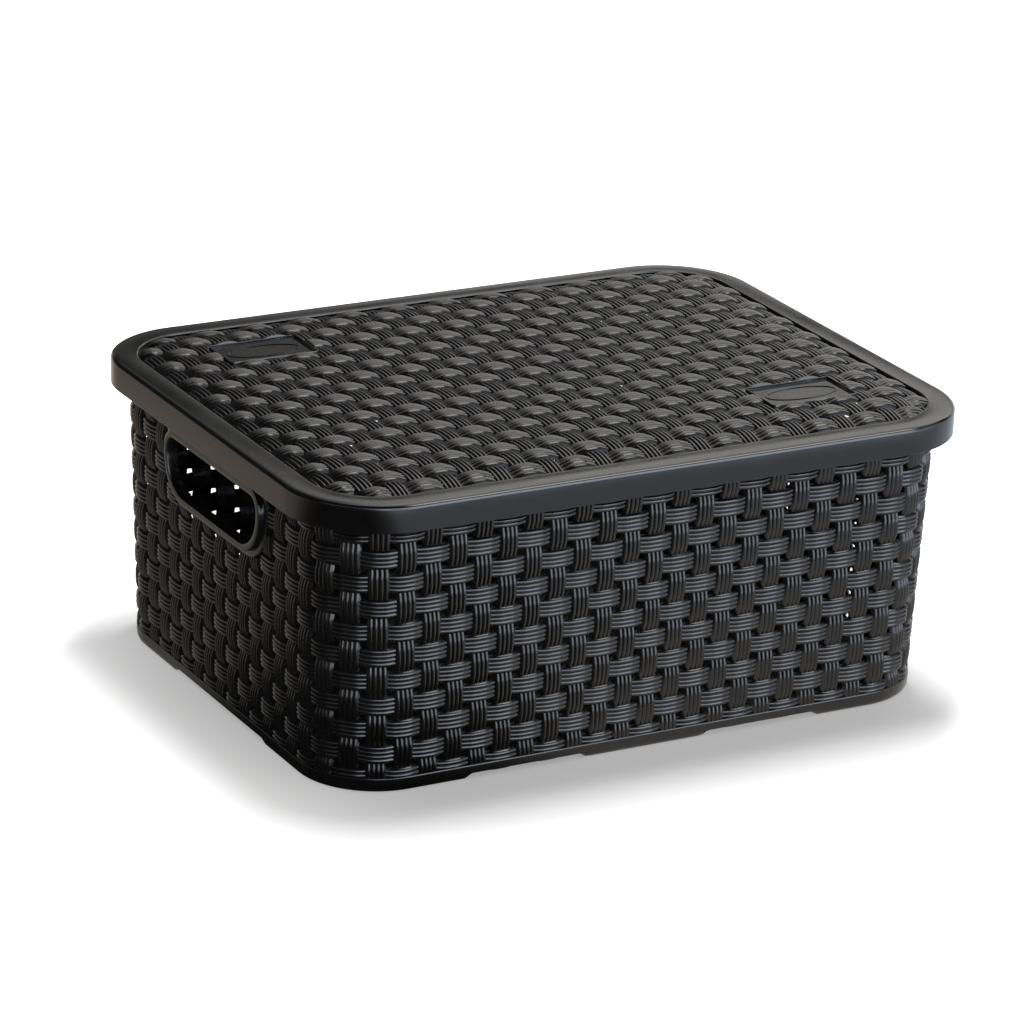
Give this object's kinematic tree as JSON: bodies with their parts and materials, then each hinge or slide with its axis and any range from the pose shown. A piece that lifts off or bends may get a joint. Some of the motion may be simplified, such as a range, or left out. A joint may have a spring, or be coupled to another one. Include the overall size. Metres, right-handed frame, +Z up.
{
  "type": "storage basket with lid",
  "caption": "Moulded plastic storage basket with an open basket-weave pattern, hand slots in the short sides and a lift-off lid.",
  "frame": {"origin": "middle of the footprint, on the surface that the feet stand on", "axes": "+Z up, +X along the long side, +Y towards the back long side"},
  "size_m": [0.37, 0.2872, 0.1573],
  "materials": {
    "basket_plastic": "satin black moulded polypropylene",
    "lid_plastic": "satin black moulded polypropylene"
  },
  "bodies": {
    "basket": {"basket": "basket_plastic"},
    "lid": {"lid": "lid_plastic"}
  },
  "joints": [
    {"name": "lid_lift", "type": "slide", "parent": "basket", "child": "lid", "axis": [0, 0, 1], "range_m": [0, 0.2]}
  ]
}
